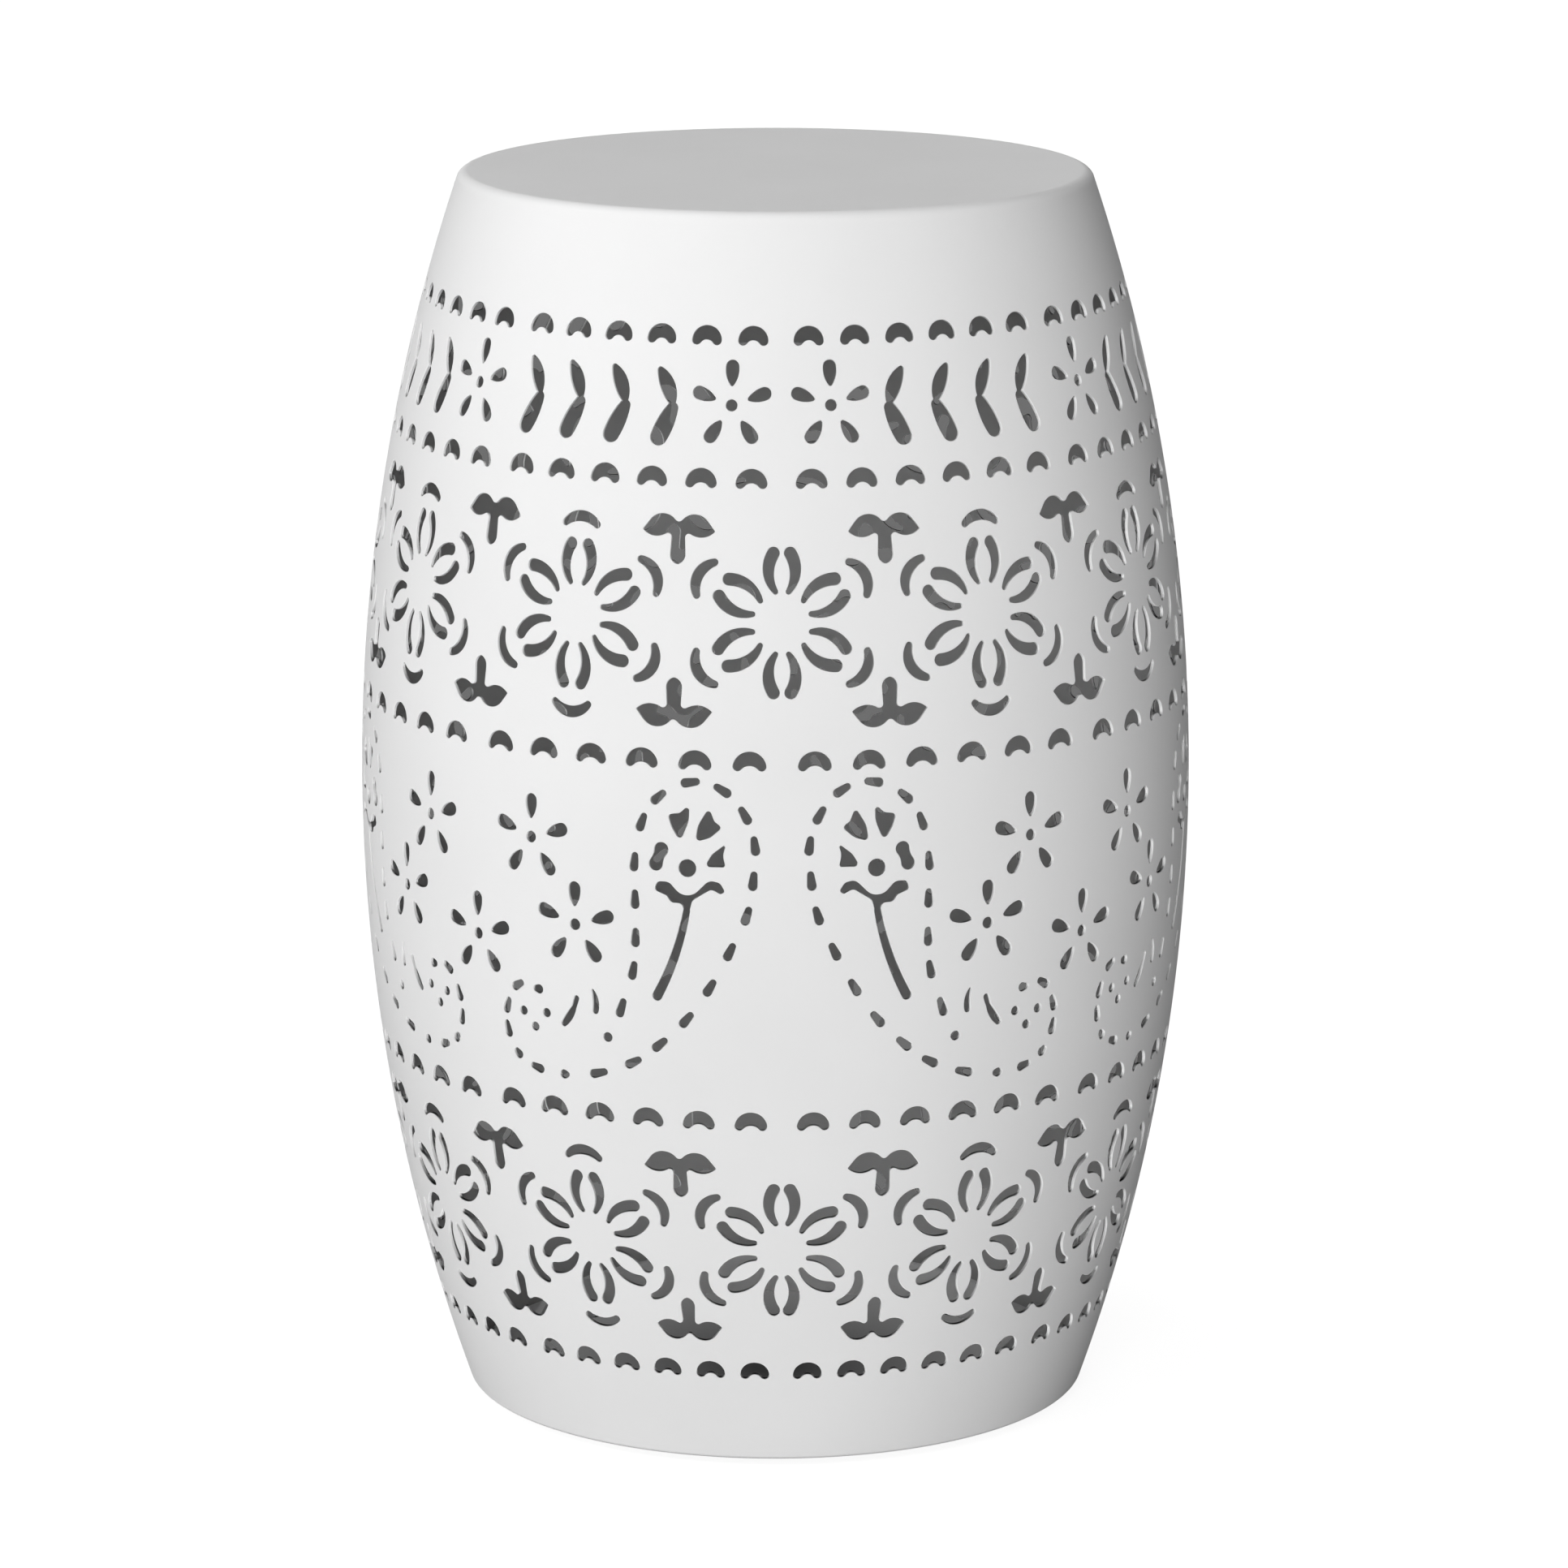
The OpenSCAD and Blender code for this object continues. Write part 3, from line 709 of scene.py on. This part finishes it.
def finish(name, level, spread, roughness, grain, depth, metallic=0):
    """Material of a grey level, cloudy by a spread of greys, with a bump of such a grain and depth."""
    material = bpy.data.materials.new(name)
    material.use_nodes = True
    nodes, links = material.node_tree.nodes, material.node_tree.links
    shader = nodes["Principled BSDF"]
    shader.inputs["Specular IOR Level"].default_value = COAT_SPECULAR
    shader.inputs["Metallic"].default_value = metallic
    where = nodes.new("ShaderNodeTexCoord")
    cloud = nodes.new("ShaderNodeTexNoise")
    cloud.inputs["Scale"].default_value = CLOUD_SCALE
    cloud.inputs["Detail"].default_value = 3
    tone = nodes.new("ShaderNodeValToRGB")
    tone.color_ramp.elements[0].position = 0.3
    tone.color_ramp.elements[1].position = 0.7
    for element, shift in zip(tone.color_ramp.elements, (-spread, spread)):
        v = linear(level + shift)
        element.color = (v, v, v, 1)
    links.new(where.outputs["Object"], cloud.inputs["Vector"])
    links.new(cloud.outputs["Fac"], tone.inputs["Fac"])
    links.new(tone.outputs["Color"], shader.inputs["Base Color"])
    gloss = nodes.new("ShaderNodeMapRange")
    gloss.inputs["To Min"].default_value = roughness - GLOSS_SPREAD
    gloss.inputs["To Max"].default_value = roughness + GLOSS_SPREAD
    links.new(cloud.outputs["Fac"], gloss.inputs["Value"])
    links.new(gloss.outputs["Result"], shader.inputs["Roughness"])
    peel = nodes.new("ShaderNodeTexNoise")
    peel.inputs["Scale"].default_value = grain
    peel.inputs["Detail"].default_value = 2
    bump = nodes.new("ShaderNodeBump")
    bump.inputs["Strength"].default_value = BUMP_STRENGTH
    bump.inputs["Distance"].default_value = depth
    links.new(where.outputs["Object"], peel.inputs["Vector"])
    links.new(peel.outputs["Fac"], bump.inputs["Height"])
    links.new(bump.outputs["Normal"], shader.inputs["Normal"])
    return material


white_coat = finish("powder_coat_white", level=240, spread=1.5, roughness=0.5, grain=900, depth=0.00006)
# The wall's inside faces get a darker copy of the white coat: painted shade for the dim inside of the drum
shaded_inside_coat = finish("powder_coat_inside_painted_shade", level=196, spread=6, roughness=0.6, grain=900, depth=0.00006)
zinc = finish("zinc_plate", level=170, spread=10, roughness=0.32, grain=2500, depth=0.00004, metallic=1)
rubber = finish("glide_rubber", level=42, spread=5, roughness=0.75, grain=1500, depth=0.00008)
for piece in (*walls, seat_top):
    piece.data.materials.append(white_coat)
# Second slot of the walls: the darker inside coat, painted shade
for wall in walls:
    wall.data.materials.append(shaded_inside_coat)
GLIDES = ("glide_front_right", "glide_front_left", "glide_rear_left", "glide_rear_right")
CARRIED = {
    white_coat: ("seat_brace_lower", "seat_brace_upper", "base_ring"),
    zinc: ("glide_screws", "glide_washers", "glide_nuts"),
    rubber: GLIDES,
}
for material, nodes in CARRIED.items():
    for node in nodes:
        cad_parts[node].data.materials.clear()
        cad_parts[node].data.materials.append(material)

# Camera at the photograph's place
SENSOR = 36
LENS = 158.66
CAMERA_AT = (-0.03887, -2.47495, 0.78904)
CAMERA_DOWN = 12.8492
CAMERA_RIGHT = 0.9723
camera_data = bpy.data.cameras.new("camera")
camera_data.sensor_width = SENSOR
camera_data.lens = LENS
camera = bpy.data.objects.new("camera", camera_data)
camera.location = CAMERA_AT
camera.rotation_euler = (math.radians(90 - CAMERA_DOWN), 0, -math.radians(CAMERA_RIGHT))
bpy.context.scene.collection.objects.link(camera)
bpy.context.scene.camera = camera


# Light
def sun(name, azimuth, elevation, strength, softness):
    """A soft far lamp, from the photograph's side for azimuth 0 and from the right for 90.

    Glossy rays don't see it, because its mirror image would wash out the seat in low views.
    """
    data = bpy.data.lights.new(name, "SUN")
    data.energy = strength
    data.angle = math.radians(softness)
    lamp = bpy.data.objects.new(name, data)
    lamp.rotation_euler = (math.radians(90 - elevation), 0, math.radians(azimuth))
    lamp.visible_glossy = False
    bpy.context.scene.collection.objects.link(lamp)


sun("front_softbox", azimuth=-10, elevation=8, strength=2.9, softness=35)
sun("side_softbox", azimuth=-100, elevation=22, strength=1.4, softness=40)
sun("right_reflector", azimuth=38, elevation=6, strength=0.4, softness=25)
sun("overhead_softbox", azimuth=-30, elevation=75, strength=0.58, softness=50)
sun("rear_fill", azimuth=180, elevation=10, strength=1.6, softness=40)


def math_node(tree, operation, a, b):
    """Joins two outputs or numbers by a Math node and gives its output."""
    node = tree.nodes.new("ShaderNodeMath")
    node.operation = operation
    for socket, value in zip(node.inputs, (a, b)):
        if isinstance(value, (int, float)):
            socket.default_value = value
        else:
            tree.links.new(value, socket)
    return node.outputs[0]


GLOSSY_WHITE = 0.12
WORLD_FILL = 0.02


def seen_directly(tree):
    """How white the background is: one for camera and transmission rays, less for glossy ones, else zero."""
    path = tree.nodes.new("ShaderNodeLightPath")
    glossy = math_node(tree, "MULTIPLY", path.outputs["Is Glossy Ray"], GLOSSY_WHITE)
    sharp = math_node(tree, "MAXIMUM", glossy, path.outputs["Is Transmission Ray"])
    return math_node(tree, "MAXIMUM", path.outputs["Is Camera Ray"], sharp)


world = bpy.data.worlds.new("studio")
world.use_nodes = True
bpy.context.scene.world = world
strength = world.node_tree.nodes.new("ShaderNodeMapRange")
strength.inputs["To Min"].default_value = WORLD_FILL
strength.inputs["To Max"].default_value = 1.0
world.node_tree.links.new(seen_directly(world.node_tree), strength.inputs["Value"])
background = world.node_tree.nodes["Background"]
background.inputs["Color"].default_value = (1, 1, 1, 1)
world.node_tree.links.new(strength.outputs["Result"], background.inputs["Strength"])


FLOOR_TONE = (0.25, 0.25, 0.25, 1)
FLOOR_GLOW = 0.9
FLOOR_REACH = 60


def floor_material():
    """Pale floor whose seen colour is nearly white, with the object's shadow as a soft grey in it."""
    material = bpy.data.materials.new("floor")
    material.use_nodes = True
    tree = material.node_tree
    tree.nodes.clear()
    plain = tree.nodes.new("ShaderNodeBsdfDiffuse")
    plain.inputs["Color"].default_value = FLOOR_TONE
    glow = tree.nodes.new("ShaderNodeEmission")
    glow.inputs["Color"].default_value = (1, 1, 1, 1)
    glow.inputs["Strength"].default_value = FLOOR_GLOW
    both = tree.nodes.new("ShaderNodeAddShader")
    choose = tree.nodes.new("ShaderNodeMixShader")
    out = tree.nodes.new("ShaderNodeOutputMaterial")
    tree.links.new(glow.outputs[0], both.inputs[0])
    tree.links.new(plain.outputs[0], both.inputs[1])
    tree.links.new(seen_directly(tree), choose.inputs[0])
    tree.links.new(plain.outputs[0], choose.inputs[1])
    tree.links.new(both.outputs[0], choose.inputs[2])
    tree.links.new(choose.outputs[0], out.inputs["Surface"])
    return material


corners = [(x * FLOOR_REACH, y * FLOOR_REACH, 0) for x, y in ((-1, -1), (1, -1), (1, 1), (-1, 1))]
floor_mesh = bpy.data.meshes.new("floor")
floor_mesh.from_pydata(corners, [], [(0, 1, 2, 3)])
floor_mesh.materials.append(floor_material())
floor = bpy.data.objects.new("floor", floor_mesh)
bpy.context.scene.collection.objects.link(floor)


# The background is white, but a film seen only by camera rays paints shade on what shows through both walls:
# the far inside and the floor within the drum.
# The film lets through a share SHADE of the light up to SHADE_IN millimetres from the axis,
# and DUSK from SHADE_OUT on
DUSK = 0.15
DUSK_DEPTH = 0.5
DUSK_LIFT = 0.5
DUSK_ROWS = 60
DUSK_MARGIN = 8
SHADE = 0.03
SHADE_IN = 8
SHADE_OUT = 85


def painted_shade_material():
    """Painted shade: dims what is seen on leaving the drum, the floor at its axis most, and nothing on the
    way in.
    """
    material = bpy.data.materials.new("painted_shade_film")
    material.use_nodes = True
    tree = material.node_tree
    tree.nodes.clear()
    where = tree.nodes.new("ShaderNodeTexCoord")
    level = tree.nodes.new("ShaderNodeVectorMath")
    level.operation = "MULTIPLY"
    level.inputs[1].default_value = (1, 1, 0)
    reach = tree.nodes.new("ShaderNodeVectorMath")
    reach.operation = "LENGTH"
    tree.links.new(where.outputs["Object"], level.inputs[0])
    tree.links.new(level.outputs["Vector"], reach.inputs[0])
    shade = tree.nodes.new("ShaderNodeMapRange")
    shade.inputs["From Min"].default_value = SHADE_IN * MM
    shade.inputs["From Max"].default_value = SHADE_OUT * MM
    shade.inputs["To Min"].default_value = SHADE
    shade.inputs["To Max"].default_value = DUSK
    tree.links.new(reach.outputs["Value"], shade.inputs["Value"])
    way_in = tree.nodes.new("ShaderNodeBsdfTransparent")
    way_out = tree.nodes.new("ShaderNodeBsdfTransparent")
    tree.links.new(shade.outputs["Result"], way_out.inputs["Color"])
    side = tree.nodes.new("ShaderNodeNewGeometry")
    choose = tree.nodes.new("ShaderNodeMixShader")
    out = tree.nodes.new("ShaderNodeOutputMaterial")
    tree.links.new(side.outputs["Backfacing"], choose.inputs[0])
    tree.links.new(way_in.outputs[0], choose.inputs[1])
    tree.links.new(way_out.outputs[0], choose.inputs[2])
    tree.links.new(choose.outputs[0], out.inputs["Surface"])
    return material


# Film of painted shade: a sleeve inside the lower wall closed by a disc just above the floor, seen by camera
# rays only
spans = np.linspace(CRESCENT_ROWS[-1] + DUSK_MARGIN, FOOT_S, DUSK_ROWS)
sleeve = list(zip(*section(spans, DUSK_DEPTH)))
painted_shade_film = revolve("painted_shade_behind_far_holes", [sleeve, line(sleeve[-1][:2], (0, DUSK_LIFT - FOOT_Z))])
painted_shade_film.data.materials.append(painted_shade_material())
for kind in ("diffuse", "glossy", "transmission", "volume_scatter", "shadow"):
    setattr(painted_shade_film, "visible_" + kind, False)

bpy.context.scene.view_settings.view_transform = "Standard"
